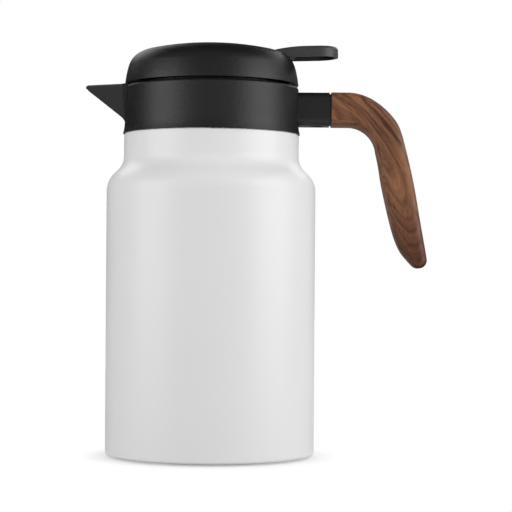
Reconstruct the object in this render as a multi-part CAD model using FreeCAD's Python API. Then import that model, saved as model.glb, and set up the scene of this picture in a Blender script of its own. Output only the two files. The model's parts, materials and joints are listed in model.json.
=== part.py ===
import FreeCAD, Part
import math
import os

# Thermal jug with a hinged lid. Millimetres, +Z up, origin on the jug's axis at the surface it stands on.
# +X points to the handle, -X to the spout.

V = FreeCAD.Vector

# Steel body
body_radius = 62.5
steel_wall = 0.8
base_corner = 1.8
base_rim_width = 7.5
shoulder_low_z = 157.8
shoulder_outer_radius = 15.0
shoulder_inner_radius = 12.0
shoulder_straight = 1.7
shoulder_step = 10.2
neck_top_z = 192.4
ledge_corner = 1.0

# Inner flask
flask_wall = 0.7
vacuum_gap = 4.2
flask_floor_z = 9.0
flask_corner = 14.0
flask_shoulder_drop = 6.2
flask_outer_radius = 12.0
flask_inner_radius = 10.0
flask_straight = 6.5
neck_vacuum_gap = 0.8

# Base pieces
pad_proud = 0.8
pad_clearance = 0.5
pad_groove_radii = (18.0, 34.0)
pad_groove_width = 3.0
pad_groove_depth = 0.5
base_plate_margin = 2.0
plug_hole_radius = 3.0
plug_clearance = 0.05
plug_head_radius = 5.0
plug_head_height = 1.2
getter_radius = 6.0
getter_height = 3.0
getter_offset = 22.0

# Collar
collar_height = 28.1
collar_inset = 0.3
collar_wall = 4.7
collar_fit = 0.3
collar_top_round = 1.5
collar_lip = 0.7
collar_flare_height = 7.0
gasket_height = 1.2
shelf_depth = 9.1
shelf_thickness = 2.0
shelf_width = 3.1

# Spout
spout_length = 23.5
spout_half_angle = 25.0
spout_rim_rise = 0.85
spout_rim_band = 0.7
spout_keel_angle = 38.0
spout_keel_share = 0.15
spout_nose_radius = 1.3
spout_wall = 1.9
spout_blend = 3.0
spout_root_inset = 0.7
spout_blend_angles = (0, 20, 40, 60, 75)
spout_nose_wall = 5.7

# Handle stub and its fixing
stub_rise = 15.1
stub_length = 18.4
stub_height = 19.8
stub_width = 20.0
stub_corner = 4.0
tenon_radius = 5.0
tenon_fit = 0.1
tenon_in_stub = 15.0
tenon_in_wood = 20.0
socket_end_gap = 0.5
screw_from_stub_end = 7.6
screw_recess_radius = 4.0
screw_recess_depth = 4.0
screw_head_radius = 3.3
screw_head_height = 2.4
screw_shank_radius = 1.95
screw_shank_length = 9.0
screw_clearance = 0.1
screw_socket_radius = 1.3
screw_socket_depth = 1.4
spacer_thickness = 1.2
spacer_inset = 0.9

# Wooden handle, as offsets from the middle of its root face: outwards, and up
wood_height = 20.2
wood_width = 20.4
wood_edge_round = 4.5
wood_top_length = 9.5
# Stations of its outer and inner lines: outwards, up, and the line's heading in degrees
wood_outer_line = ((25.6, 5.4, -32), (37.3, -5.0, -51), (42.9, -17.0, -75), (48.3, -39.0, -77.5),
                   (53.5, -67.0, -80))
wood_tip_centre = (52.7, -89.8)
wood_tip_radius = 4.8
wood_tip_start_angle = 9.0
wood_tip_end_angle = -137.0
wood_inner_line = ((40.9, -82.5, 116), (35.0, -64.5, 104), (30.9, -46.5, 102), (28.2, -31.0, 101))
wood_inner_radius = 17.0
wood_inner_reach = 10.0
wood_inner_start_angle = 9.0

# Hinge
hinge_inset = 4.6
hinge_drop = 3.7
pin_radius = 1.25
pin_press_gap = 0.02
pin_running_gap = 0.06
pin_near_end = 12.8
pin_far_end = 20.0
lug_radius = 2.6
lug_inner_half = 4.6
lug_outer_half = 8.0
lug_side_gap = 0.3
lug_pocket_gap = 0.4
ear_radius = 2.8
ear_length = 5.4
web_inner_reach = 4.4
web_outer_reach = 1.0
web_drop = 2.1
bar_outer_reach = 2.8
bar_top_rise = 1.6
notch_reach = 1.9

# Closing spring on the pin
spring_wire = 0.7
spring_radius = 2.1
spring_turns = 5.25
spring_pitch = 1.25
spring_fixed_leg = 1.5
spring_free_leg = 4.2

# Lid
lid_gap = 1.4
lid_inset = 0.1
dome_wall = 2.2
dome_side_radius = 55.0
dome_draft_angle = 5.0
dome_side_angle = 16.7
dome_corner_radius = 12.7
dome_crown_angle = 77.0
dome_rib_width = 3.0
dome_rib_height = 1.5
liner_recess = 0.5
liner_plate = 2.0
liner_clearance = 0.7
plug_wall = 2.0
plug_radial_gap = 1.7
plug_floor = 2.0
seal_gap = 0.3
seal_lip_height = 0.8
seal_height = 1.8
seal_reach = 2.9
seal_lip_inset = 1.3
seal_fit = 0.1
foam_clearance = 0.4
foam_inset = 6.0
foam_height = 10.0

# Thumb lever
lever_reach = 23.6
lever_front_inset = 12.5
lever_top_rise = 22.4
lever_thickness = 6.4
lever_tilt_angle = 1.5
lever_half_width = 12.2
lever_dip_length = 17.0
lever_dip_radius = 97.0
lever_edge_round = 2.0
lever_rim = 2.0
lever_skin = 2.0
lever_seat_gap = 0.05
lever_screw_half_pitch = 4.4
lever_screw_angle = 48.0
lever_screw_radius = 1.25
lever_screw_gap = 0.05
lever_screw_head_radius = 2.4
lever_screw_head_height = 1.6
lever_screw_length = 7.4
lever_boss_radius = 3.4
lever_boss_height = 1.0
lever_post_radius = 2.6

# How far a piece runs into the one that it is moulded with
overlap = 1.5

# Places worked out from the sizes above
neck_radius = body_radius - shoulder_step
base_opening_radius = body_radius - base_rim_width
collar_radius = neck_radius - collar_inset
collar_bore = collar_radius - collar_wall
collar_top_z = neck_top_z + collar_height
mouth_radius = collar_bore - collar_fit
mouth_top_z = collar_top_z - shelf_depth - shelf_thickness - gasket_height - flask_wall
flask_radius = body_radius - steel_wall - vacuum_gap
flask_neck_radius = mouth_radius - steel_wall - neck_vacuum_gap
flask_shoulder_z = shoulder_low_z - flask_shoulder_drop
flask_top_z = mouth_top_z + flask_wall
shelf_low_z = flask_top_z + gasket_height
shelf_top_z = shelf_low_z + shelf_thickness
shelf_inner_radius = collar_bore - shelf_width
spout_rim_z = collar_top_z + spout_rim_rise
spout_reach = collar_radius + spout_length
spout_apex = spout_reach + spout_nose_radius * (1 / math.sin(math.radians(spout_half_angle)) - 1)
plate_low_z = pad_proud + steel_wall
plate_top_z = plate_low_z + steel_wall

hinge_x = collar_radius - hinge_inset
hinge_z = collar_top_z - hinge_drop
notch_half = lug_outer_half + lug_side_gap
stub_z = neck_top_z + stub_rise
stub_end_x = collar_radius + stub_length
wood_root_x = stub_end_x + spacer_thickness
screw_x = stub_end_x - screw_from_stub_end
stub_low_z = stub_z - stub_height / 2
screw_seat_z = stub_low_z + screw_recess_depth

lid_base_z = collar_top_z + lid_gap
lid_radius = collar_radius - lid_inset
liner_low_z = lid_base_z + liner_recess
liner_top_z = liner_low_z + liner_plate
liner_radius = lid_radius - dome_wall - liner_clearance
plug_radius = shelf_inner_radius - plug_radial_gap
foam_radius = liner_radius - foam_inset
seal_low_z = shelf_top_z + seal_gap
seal_seat_z = seal_low_z + seal_lip_height
plug_low_z = seal_low_z + seal_fit
lever_tip_x = lid_radius + lever_reach
lever_front_x = lid_radius - lever_front_inset
lever_dip_x = lever_front_x + lever_dip_length
lever_back_x = lever_front_x - lever_thickness
lever_top_z = lid_base_z + lever_top_rise
lever_low_z = lever_top_z - lever_thickness
lever_screw_seat = dome_corner_radius - dome_wall - lever_boss_height


# Helpers for outlines in the XZ plane, turned solids and bars

def at(point):
    return V(point[0], 0, point[1])


def polar(centre, radius, degrees):
    angle = math.radians(degrees)
    return (centre[0] + radius * math.cos(angle), centre[1] + radius * math.sin(angle))


def line(start, end):
    return Part.LineSegment(at(start), at(end)).toShape()


def bend(centre, radius, start, end):
    middle = polar(centre, radius, (start + end) / 2)
    return Part.Arc(at(polar(centre, radius, start)), at(middle), at(polar(centre, radius, end))).toShape()


def chain(corners):
    return [line(first, second) for first, second in zip(corners, corners[1:])]


def closed_face(edges):
    return Part.Face(Part.Wire(Part.__sortEdges__(edges)))


def turned(edges):
    return closed_face(edges).revolve(V(0, 0, 0), V(0, 0, 1), 360)


def turned_corners(corners):
    return turned(chain(list(corners) + [corners[0]]))


def ring(inner, outer, low, high):
    return turned_corners([(inner, low), (outer, low), (outer, high), (inner, high)])


def round_z(radius, low, high, x=0.0, y=0.0):
    return Part.makeCylinder(radius, high - low, V(x, y, low), V(0, 0, 1))


def round_x(radius, start, end, y, z):
    return Part.makeCylinder(radius, end - start, V(start, y, z), V(1, 0, 0))


def round_y(radius, start, end, x, z):
    return Part.makeCylinder(radius, end - start, V(x, start, z), V(0, 1, 0))


def block(low, high):
    return Part.makeBox(high[0] - low[0], high[1] - low[1], high[2] - low[2], V(*low))


def rounded_bar(start, end, width, height, corner, z):
    bar = block((start, -width / 2, z - height / 2), (end, width / 2, z + height / 2))
    along = [edge for edge in bar.Edges if abs(edge.tangentAt(edge.FirstParameter).x) > 0.99]
    return bar.makeFillet(corner, along)


# Two tangent arcs from one point and direction to another

def corner_arc(start, corner, end):
    middle = (start + end) * 0.5
    depth = (middle - corner).Length
    side = (corner - start).Length
    radius = side * (middle - start).Length / depth
    crown = corner + (middle - corner) * ((side * side / depth - radius) / depth)
    return Part.Arc(start, crown, end).toShape()


def biarc(start, start_way, end, end_way):
    gap = end - start
    both = gap.dot(start_way + end_way)
    spare = 1 - start_way.dot(end_way)
    reach = (-both + math.sqrt(both * both + 2 * spare * gap.dot(gap))) / (2 * spare)
    first_corner = start + start_way * reach
    second_corner = end - end_way * reach
    join = (first_corner + second_corner) * 0.5
    return [corner_arc(start, first_corner, join), corner_arc(join, second_corner, end)]


# An S-shaped shoulder from a wall to a narrower neck

def shoulder_turn(drop_in, outer_bend, inner_bend, straight):
    bends = outer_bend + inner_bend
    lean = math.atan2(straight, bends)
    return math.degrees(math.acos((bends - drop_in) / math.hypot(bends, straight)) - lean)


def shoulder_rise(turn, outer_bend, inner_bend, straight):
    angle = math.radians(turn)
    return (outer_bend + inner_bend) * math.sin(angle) + straight * math.cos(angle)


def shoulder(wall_radius, low_z, neck, outer_bend, inner_bend, straight, inset):
    turn = shoulder_turn(wall_radius - neck, outer_bend, inner_bend, straight)
    top_z = low_z + shoulder_rise(turn, outer_bend, inner_bend, straight)
    low_centre = (wall_radius - outer_bend, low_z)
    high_centre = (neck + inner_bend, top_z)
    low_end = polar(low_centre, outer_bend - inset, turn)
    high_start = polar(high_centre, inner_bend + inset, 180 + turn)
    edges = [
        bend(low_centre, outer_bend - inset, 0, turn),
        line(low_end, high_start),
        bend(high_centre, inner_bend + inset, 180 + turn, 180),
    ]
    return edges, top_z


# Steel pieces

def shell_side(inset):
    foot_z = pad_proud + inset
    corner_centre = (body_radius - base_corner, pad_proud + base_corner)
    ledge_centre = (neck_radius - ledge_corner, neck_top_z - ledge_corner)
    slope, slope_top_z = shoulder(body_radius, shoulder_low_z, neck_radius, shoulder_outer_radius,
                                  shoulder_inner_radius, shoulder_straight, inset)
    edges = [line((base_opening_radius, foot_z), (corner_centre[0], foot_z))]
    edges.append(bend(corner_centre, base_corner - inset, -90, 0))
    edges.append(line((body_radius - inset, corner_centre[1]), (body_radius - inset, shoulder_low_z)))
    edges += slope
    edges.append(line((neck_radius - inset, slope_top_z), (neck_radius - inset, ledge_centre[1])))
    edges.append(bend(ledge_centre, ledge_corner - inset, 0, 90))
    tube = mouth_radius - inset
    edges += chain([(ledge_centre[0], neck_top_z - inset), (tube, neck_top_z - inset), (tube, mouth_top_z)])
    return edges


def make_outer_shell():
    foot = line((base_opening_radius, pad_proud), (base_opening_radius, pad_proud + steel_wall))
    mouth = line((mouth_radius, mouth_top_z), (mouth_radius - steel_wall, mouth_top_z))
    return turned(shell_side(0) + shell_side(steel_wall) + [foot, mouth])


def flask_side(inset):
    corner_centre = (flask_radius - flask_corner, flask_floor_z + flask_corner)
    floor_z = flask_floor_z + inset
    slope, slope_top_z = shoulder(flask_radius, flask_shoulder_z, flask_neck_radius, flask_outer_radius,
                                  flask_inner_radius, flask_straight, inset)
    edges = [line((0, floor_z), (corner_centre[0], floor_z))]
    edges.append(bend(corner_centre, flask_corner - inset, -90, 0))
    edges.append(line((flask_radius - inset, corner_centre[1]), (flask_radius - inset, flask_shoulder_z)))
    edges += slope
    return edges, slope_top_z


def make_inner_flask():
    outside, outside_top_z = flask_side(0)
    inside, inside_top_z = flask_side(flask_wall)
    bore = flask_neck_radius - flask_wall
    rim = chain([
        (flask_neck_radius, outside_top_z),
        (flask_neck_radius, mouth_top_z),
        (mouth_radius, mouth_top_z),
        (mouth_radius, flask_top_z),
        (bore, flask_top_z),
        (bore, inside_top_z),
    ])
    floor = line((0, flask_floor_z), (0, flask_floor_z + flask_wall))
    return turned(outside + inside + rim + [floor])


def make_base_plate():
    plate = round_z(base_opening_radius + base_plate_margin, plate_low_z, plate_top_z)
    return plate.cut(round_z(plug_hole_radius, plate_low_z, plate_top_z))


def make_vacuum_plug():
    stem = round_z(plug_hole_radius - plug_clearance, plate_low_z, plate_top_z)
    return stem.fuse(round_z(plug_head_radius, plate_top_z, plate_top_z + plug_head_height)).removeSplitter()


def make_getter():
    return round_z(getter_radius, plate_top_z, plate_top_z + getter_height, getter_offset)


def make_base_pad():
    pad = round_z(base_opening_radius - pad_clearance, 0, plate_low_z)
    for radius in pad_groove_radii:
        pad = pad.cut(ring(radius, radius + pad_groove_width, 0, pad_groove_depth))
    return pad


# Collar with spout, hinge ears and handle stub

def make_mouth_gasket():
    return ring(shelf_inner_radius, collar_bore - collar_fit, flask_top_z, shelf_low_z)


def make_collar_ring():
    flare_out = collar_lip + collar_inset
    flare_radius = (collar_flare_height ** 2 + flare_out ** 2) / (2 * flare_out)
    flare_turn = math.degrees(math.asin(collar_flare_height / flare_radius))
    flare_z = neck_top_z + collar_flare_height
    round_centre = (collar_radius - collar_top_round, collar_top_z - collar_top_round)
    edges = [bend((collar_radius + flare_radius, flare_z), flare_radius, 180 + flare_turn, 180)]
    edges.append(line((collar_radius, flare_z), (collar_radius, round_centre[1])))
    edges.append(bend(round_centre, collar_top_round, 0, 90))
    edges += chain([
        (round_centre[0], collar_top_z),
        (collar_bore, collar_top_z),
        (collar_bore, shelf_top_z),
        (shelf_inner_radius, shelf_top_z),
        (shelf_inner_radius, shelf_low_z),
        (collar_bore, shelf_low_z),
        (collar_bore, neck_top_z),
        (neck_radius + collar_lip, neck_top_z),
    ])
    return turned(edges)


def spout_section(distance, half_width, band_z, top_z, keel_z):
    keel_half = spout_keel_share * half_width
    side = math.hypot(half_width, band_z - keel_z)
    lift = keel_half * (1 - half_width / side)
    out = keel_half * (band_z - keel_z) / side
    corners = [
        V(-distance, -out, keel_z + lift),
        V(-distance, -half_width, band_z),
        V(-distance, -half_width, top_z),
        V(-distance, half_width, top_z),
        V(-distance, half_width, band_z),
        V(-distance, out, keel_z + lift),
    ]
    edges = [Part.LineSegment(first, second).toShape() for first, second in zip(corners, corners[1:])]
    edges.append(Part.Arc(corners[-1], V(-distance, 0, keel_z), corners[0]).toShape())
    return Part.Wire(edges)


def spout_outline(distance, shrink, top_z):
    run = spout_apex - distance
    half_width = run * math.tan(math.radians(spout_half_angle)) - shrink
    keel_drop = run * math.tan(math.radians(spout_keel_angle))
    band_z = spout_rim_z - spout_rim_band
    keel_z = band_z - keel_drop + shrink / math.cos(math.radians(spout_keel_angle))
    return spout_section(distance, half_width, band_z, top_z, keel_z)


def spout_wedge(inner_end, outer_end, shrink, top_z):
    return Part.makeLoft([spout_outline(end, shrink, top_z) for end in (inner_end, outer_end)], True, True)


# The spout flares into the collar through a hollow blend

def make_spout():
    nose_x = spout_reach - spout_nose_radius
    root_x = collar_radius - spout_root_inset
    wedge = spout_wedge(root_x + spout_blend, nose_x, 0, spout_rim_z)
    nose = Part.makeSphere(spout_nose_radius, V(-nose_x, 0, spout_rim_z - spout_nose_radius))
    sections = []
    for degrees in spout_blend_angles:
        angle = math.radians(degrees)
        distance = root_x + spout_blend * (1 - math.sin(angle))
        sections.append(spout_outline(distance, spout_blend * (math.cos(angle) - 1), spout_rim_z))
    foot_end = sections[-1].copy()
    foot_end.translate(V(root_x - collar_bore - overlap, 0, 0))
    flare = Part.makeLoft(sections, True, False)
    foot = Part.makeLoft([sections[-1], foot_end], True, True)
    return wedge.fuse(nose).fuse(flare).fuse(foot)


def make_collar():
    collar = make_collar_ring().fuse(make_spout())
    stub = rounded_bar(collar_bore + overlap, stub_end_x, stub_width, stub_height, stub_corner, stub_z)
    collar = collar.fuse(stub)
    for side in (-1, 1):
        ends = sorted((side * notch_half, side * (notch_half + ear_length)))
        ear = round_y(ear_radius, ends[0], ends[1], hinge_x, hinge_z)
        collar = collar.fuse(ear)
    channel = spout_wedge(collar_bore - overlap, spout_reach - spout_nose_wall, spout_wall, lid_base_z)
    above_shelf = block((-spout_reach, -body_radius, shelf_top_z), (0, body_radius, lid_base_z))
    collar = collar.cut(channel.common(above_shelf))
    pocket = round_y(lug_radius + lug_pocket_gap, -notch_half, notch_half, hinge_x, hinge_z)
    notch = block((0, -notch_half, hinge_z), (hinge_x + notch_reach, notch_half, lid_base_z))
    collar = collar.cut(pocket).cut(notch)
    collar = collar.cut(round_y(pin_radius + pin_press_gap, -pin_near_end, body_radius, hinge_x, hinge_z))
    socket_start = stub_end_x - tenon_in_stub - socket_end_gap
    collar = collar.cut(round_x(tenon_radius + tenon_fit, socket_start, stub_end_x, 0, stub_z))
    collar = collar.cut(round_z(screw_recess_radius, stub_low_z, screw_seat_z, screw_x))
    collar = collar.cut(round_z(screw_shank_radius + screw_clearance, screw_seat_z, stub_z, screw_x))
    return collar.removeSplitter()


# Handle pieces

def make_handle_tenon():
    start = stub_end_x - tenon_in_stub
    bar = round_x(tenon_radius, start, wood_root_x + tenon_in_wood, 0, stub_z)
    hole = round_z(screw_shank_radius + screw_clearance, stub_z - tenon_radius,
                   screw_seat_z + screw_shank_length + screw_clearance, screw_x)
    return bar.cut(hole)


def make_handle_screw():
    head = round_z(screw_head_radius, screw_seat_z - screw_head_height, screw_seat_z, screw_x)
    shank = round_z(screw_shank_radius, screw_seat_z, screw_seat_z + screw_shank_length, screw_x)
    head_low_z = screw_seat_z - screw_head_height
    socket = round_z(screw_socket_radius, head_low_z, head_low_z + screw_socket_depth, screw_x)
    return head.fuse(shank).cut(socket).removeSplitter()


def make_handle_spacer():
    width = stub_width - 2 * spacer_inset
    height = stub_height - 2 * spacer_inset
    plate = rounded_bar(stub_end_x, wood_root_x, width, height, stub_corner - spacer_inset, stub_z)
    return plate.cut(round_x(tenon_radius + tenon_fit, stub_end_x, wood_root_x, 0, stub_z))


def wood_point(offset):
    return V(wood_root_x + offset[0], 0, stub_z + offset[1])


def heading(degrees):
    return V(*at(polar((0, 0), 1, degrees)))


def wood_line(stations):
    edges = []
    for first, second in zip(stations, stations[1:]):
        edges += biarc(wood_point(first), heading(first[2]), wood_point(second), heading(second[2]))
    return edges


def wood_bend(centre, radius, start, end):
    places = [polar(centre, radius, angle) for angle in (start, (start + end) / 2, end)]
    return Part.Arc(*[wood_point(place) for place in places]).toShape()


def make_wood_handle():
    half = wood_height / 2
    top_end = (wood_top_length, half, 0)
    bend_centre = (wood_inner_reach, -half - wood_inner_radius)
    tip_start = polar(wood_tip_centre, wood_tip_radius, wood_tip_start_angle) + (wood_tip_start_angle - 90,)
    tip_end = polar(wood_tip_centre, wood_tip_radius, wood_tip_end_angle) + (wood_tip_end_angle - 90,)
    bend_start = polar(bend_centre, wood_inner_radius, wood_inner_start_angle)
    bend_start += (wood_inner_start_angle + 90,)
    root_corners = ((wood_inner_reach, -half), (0, -half), (0, half), top_end)
    root = [wood_point(corner) for corner in root_corners]
    edges = [Part.LineSegment(first, second).toShape() for first, second in zip(root, root[1:])]
    edges += wood_line((top_end,) + wood_outer_line + (tip_start,))
    edges.append(wood_bend(wood_tip_centre, wood_tip_radius, wood_tip_start_angle, wood_tip_end_angle))
    edges += wood_line((tip_end,) + wood_inner_line + (bend_start,))
    edges.append(wood_bend(bend_centre, wood_inner_radius, wood_inner_start_angle, 90))
    face = Part.Face(Part.Wire(Part.__sortEdges__(edges)))
    face.translate(V(0, -wood_width / 2, 0))
    blank = face.extrude(V(0, wood_width, 0))
    sides = [edge for edge in blank.Edges if edge.BoundBox.YLength < 0.01 and edge.BoundBox.XLength > 0.01]
    handle = blank.makeFillet(wood_edge_round, sides)
    bore_end = wood_root_x + tenon_in_wood + socket_end_gap
    return handle.cut(round_x(tenon_radius + tenon_fit, wood_root_x, bore_end, 0, stub_z))


# Hinge pin and closing spring

def make_hinge_pin():
    return round_y(pin_radius, -pin_near_end, pin_far_end, hinge_x, hinge_z)


def spring_point(turn):
    angle = 2 * math.pi * turn
    along = spring_pitch * (turn - spring_turns / 2)
    return V(hinge_x + spring_radius * math.cos(angle), along, hinge_z + spring_radius * math.sin(angle))


def spring_direction(turn):
    angle = 2 * math.pi * turn
    round_speed = 2 * math.pi * spring_radius
    speed = V(-round_speed * math.sin(angle), spring_pitch, round_speed * math.cos(angle))
    return speed.normalize()


def make_lid_spring():
    quarters = round(spring_turns * 4)
    start = spring_point(0)
    end = spring_point(spring_turns)
    fixed_end = start - spring_direction(0) * spring_fixed_leg
    free_end = end + spring_direction(spring_turns) * spring_free_leg
    edges = [Part.LineSegment(fixed_end, start).toShape()]
    for quarter in range(quarters):
        turn = quarter / 4
        following = (quarter + 1) / 4
        edges += biarc(spring_point(turn), spring_direction(turn),
                       spring_point(following), spring_direction(following))
    edges.append(Part.LineSegment(end, free_end).toShape())
    path = Part.Wire(edges)
    section = Part.Wire([Part.Circle(fixed_end, spring_direction(0), spring_wire / 2).toShape()])
    return path.makePipeShell([section], True, False)


def spring_self_gap():
    steps = 48
    count = int(spring_turns * steps)
    points = [spring_point(index / steps) for index in range(count + 1)]
    nearest = min((points[a] - points[b]).Length
                  for a in range(count + 1) for b in range(a + steps // 2, count + 1))
    return nearest - spring_wire


# Lid pieces

def dome_side_centre():
    return polar((lid_radius, lid_base_z), -dome_side_radius, dome_draft_angle)


def dome_corner_centre():
    return polar(dome_side_centre(), dome_side_radius - dome_corner_radius, dome_side_angle)


def dome_side(inset):
    side_centre = dome_side_centre()
    side_start = math.degrees(math.asin((lid_base_z - side_centre[1]) / (dome_side_radius - inset)))
    corner_centre = dome_corner_centre()
    crown_edge = polar(corner_centre, dome_corner_radius, dome_crown_angle)
    crown_bend = crown_edge[0] / math.cos(math.radians(dome_crown_angle))
    crown_centre = polar(crown_edge, -crown_bend, dome_crown_angle)
    edges = [
        bend(side_centre, dome_side_radius - inset, side_start, dome_side_angle),
        bend(corner_centre, dome_corner_radius - inset, dome_side_angle, dome_crown_angle),
        bend(crown_centre, crown_bend - inset, dome_crown_angle, 90),
    ]
    rim = polar(side_centre, dome_side_radius - inset, side_start)
    top = (0, crown_centre[1] + crown_bend - inset)
    return edges, rim, top


def filled_dome(inset):
    edges, rim, top = dome_side(inset)
    return turned(edges + chain([top, (0, lid_base_z), rim]))


# A round bar on the line of one lever screw, which stands square to the dome's corner

def lever_screw_bar(radius, start, end, y):
    centre = at(dome_corner_centre()) + V(0, y, 0)
    way = heading(lever_screw_angle)
    return Part.makeCylinder(radius, end - start, centre + way * start, way)


def make_lid_dome():
    outside = filled_dome(0)
    hollow = filled_dome(dome_wall)
    dome = outside.cut(hollow)
    rib = ring(liner_radius - dome_rib_width, lid_radius, liner_top_z, liner_top_z + dome_rib_height)
    dome = dome.fuse(rib.common(outside))
    for y in (-lever_screw_half_pitch, lever_screw_half_pitch):
        boss = lever_screw_bar(lever_boss_radius, lever_screw_seat, dome_corner_radius, y)
        dome = dome.fuse(boss.common(outside))
    hole_end = dome_corner_radius + overlap
    for y in (-lever_screw_half_pitch, lever_screw_half_pitch):
        dome = dome.cut(lever_screw_bar(lever_screw_radius + lever_screw_gap, lever_screw_seat, hole_end, y))
    return dome.removeSplitter()


def lever_outline(shrink):
    half = lever_half_width - shrink
    centre_x = lever_tip_x - lever_half_width
    left = V(centre_x, -half, 0)
    right = V(centre_x, half, 0)
    tip = V(centre_x + half, 0, 0)
    edges = [
        Part.LineSegment(V(lever_back_x, -half, 0), left).toShape(),
        Part.Arc(left, tip, right).toShape(),
        Part.LineSegment(right, V(lever_back_x, half, 0)).toShape(),
        Part.LineSegment(V(lever_back_x, half, 0), V(lever_back_x, -half, 0)).toShape(),
    ]
    return Part.Face(Part.Wire(edges))


# The lever's top is level at its tip and dips to the dome at its front

def lever_side():
    dip_centre = (lever_dip_x, lever_top_z - lever_dip_radius)
    dip_end = 90 + math.degrees(math.asin((lever_dip_x - lever_back_x) / lever_dip_radius))
    edges = [bend(dip_centre, lever_dip_radius, 90, dip_end)]
    edges += chain([
        polar(dip_centre, lever_dip_radius, dip_end),
        (lever_back_x, lever_low_z),
        (lever_tip_x, lever_low_z),
        (lever_tip_x, lever_top_z),
        (lever_dip_x, lever_top_z),
    ])
    face = closed_face(edges)
    face.translate(V(0, -lever_half_width, 0))
    return face.extrude(V(0, 2 * lever_half_width, 0))


def make_lever_blank():
    plan = lever_outline(0)
    plan.translate(V(0, 0, lever_low_z))
    blank = plan.extrude(V(0, 0, lever_thickness)).common(lever_side())
    top_edges = [edge for edge in blank.Edges
                 if edge.BoundBox.ZMin > lever_low_z + 0.01 and edge.BoundBox.XLength > 0.01]
    return blank.makeFillet(lever_edge_round, top_edges)


def make_thumb_lever():
    blank = make_lever_blank()
    recess_plan = lever_outline(lever_rim)
    recess_plan.translate(V(0, 0, lever_low_z))
    recess = recess_plan.extrude(V(0, 0, lever_thickness - lever_skin))
    for solid in (blank, recess):
        solid.rotate(V(lever_front_x, 0, lever_top_z), V(0, 1, 0), -lever_tilt_angle)
    lever = blank.cut(recess)
    hole_end = lever_screw_seat + lever_screw_length + lever_screw_gap
    for y in (-lever_screw_half_pitch, lever_screw_half_pitch):
        post = lever_screw_bar(lever_post_radius, 0, hole_end, y)
        lever = lever.fuse(post.common(blank))
    lever = lever.cut(round_z(lever_front_x, lid_base_z, lever_top_z + lever_thickness))
    lever = lever.cut(filled_dome(-lever_seat_gap))
    for y in (-lever_screw_half_pitch, lever_screw_half_pitch):
        hole = lever_screw_bar(lever_screw_radius + lever_screw_gap, lever_screw_seat, hole_end, y)
        lever = lever.cut(hole)
    return lever.removeSplitter()


def make_lever_screws():
    screws = []
    head_end = lever_screw_seat - lever_screw_head_height
    tip_end = lever_screw_seat + lever_screw_length
    for y in (-lever_screw_half_pitch, lever_screw_half_pitch):
        head = lever_screw_bar(lever_screw_head_radius, head_end, lever_screw_seat, y)
        shank = lever_screw_bar(lever_screw_radius, lever_screw_seat, tip_end, y)
        screws.append(head.fuse(shank).removeSplitter())
    return Part.makeCompound(screws)


def make_lid_liner():
    cup_bore = plug_radius - plug_wall
    liner = turned_corners([
        (0, plug_low_z),
        (plug_radius + seal_lip_inset - seal_fit, plug_low_z),
        (plug_radius + seal_lip_inset - seal_fit, seal_seat_z - seal_fit),
        (plug_radius, seal_seat_z - seal_fit),
        (plug_radius, liner_low_z),
        (liner_radius, liner_low_z),
        (liner_radius, liner_top_z),
        (cup_bore, liner_top_z),
        (cup_bore, plug_low_z + plug_floor),
        (0, plug_low_z + plug_floor),
    ])
    web_low_z = hinge_z - web_drop
    for side in (-1, 1):
        ends = sorted((side * lug_inner_half, side * lug_outer_half))
        lug = round_y(lug_radius, ends[0], ends[1], hinge_x, hinge_z)
        web = block((hinge_x - web_inner_reach, ends[0], web_low_z),
                    (hinge_x - web_outer_reach, ends[1], liner_low_z))
        liner = liner.fuse(lug).fuse(web)
    bar = block((hinge_x - web_inner_reach, -lug_outer_half, web_low_z),
                (hinge_x - bar_outer_reach, lug_outer_half, hinge_z + bar_top_rise))
    liner = liner.fuse(bar)
    pin_hole = round_y(pin_radius + pin_running_gap, -lug_outer_half, lug_outer_half, hinge_x, hinge_z)
    return liner.cut(pin_hole).removeSplitter()


def make_lid_seal():
    inner = plug_radius + seal_fit
    lip = plug_radius + seal_lip_inset
    outer = plug_radius + seal_reach
    return turned_corners([
        (lip, seal_low_z),
        (outer, seal_low_z),
        (outer, seal_low_z + seal_height),
        (inner, seal_low_z + seal_height),
        (inner, seal_seat_z),
        (lip, seal_seat_z),
    ])


def make_lid_insulation():
    cup_bore = plug_radius - plug_wall - foam_clearance
    low = round_z(cup_bore, plug_low_z + plug_floor, liner_top_z)
    high = round_z(foam_radius, liner_top_z, liner_top_z + foam_height)
    return low.fuse(high).removeSplitter()


pieces = {
    "outer_shell": make_outer_shell,
    "inner_flask": make_inner_flask,
    "base_plate": make_base_plate,
    "vacuum_plug": make_vacuum_plug,
    "getter": make_getter,
    "base_pad": make_base_pad,
    "collar": make_collar,
    "mouth_gasket": make_mouth_gasket,
    "handle_tenon": make_handle_tenon,
    "handle_screw": make_handle_screw,
    "handle_spacer": make_handle_spacer,
    "wood_handle": make_wood_handle,
    "hinge_pin": make_hinge_pin,
    "lid_spring": make_lid_spring,
    "lid_dome": make_lid_dome,
    "thumb_lever": make_thumb_lever,
    "lever_screws": make_lever_screws,
    "lid_liner": make_lid_liner,
    "lid_seal": make_lid_seal,
    "lid_insulation": make_lid_insulation,
}

os.makedirs("parts", exist_ok=True)
for name, make in pieces.items():
    shape = make()
    shape.exportStep("parts/" + name + ".step")
    print(name, "solids", len(shape.Solids), "valid", shape.isValid(), "volume", round(shape.Volume, 1))
print("spring gap to itself, mm", round(spring_self_gap(), 3))
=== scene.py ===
import json
import math

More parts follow.
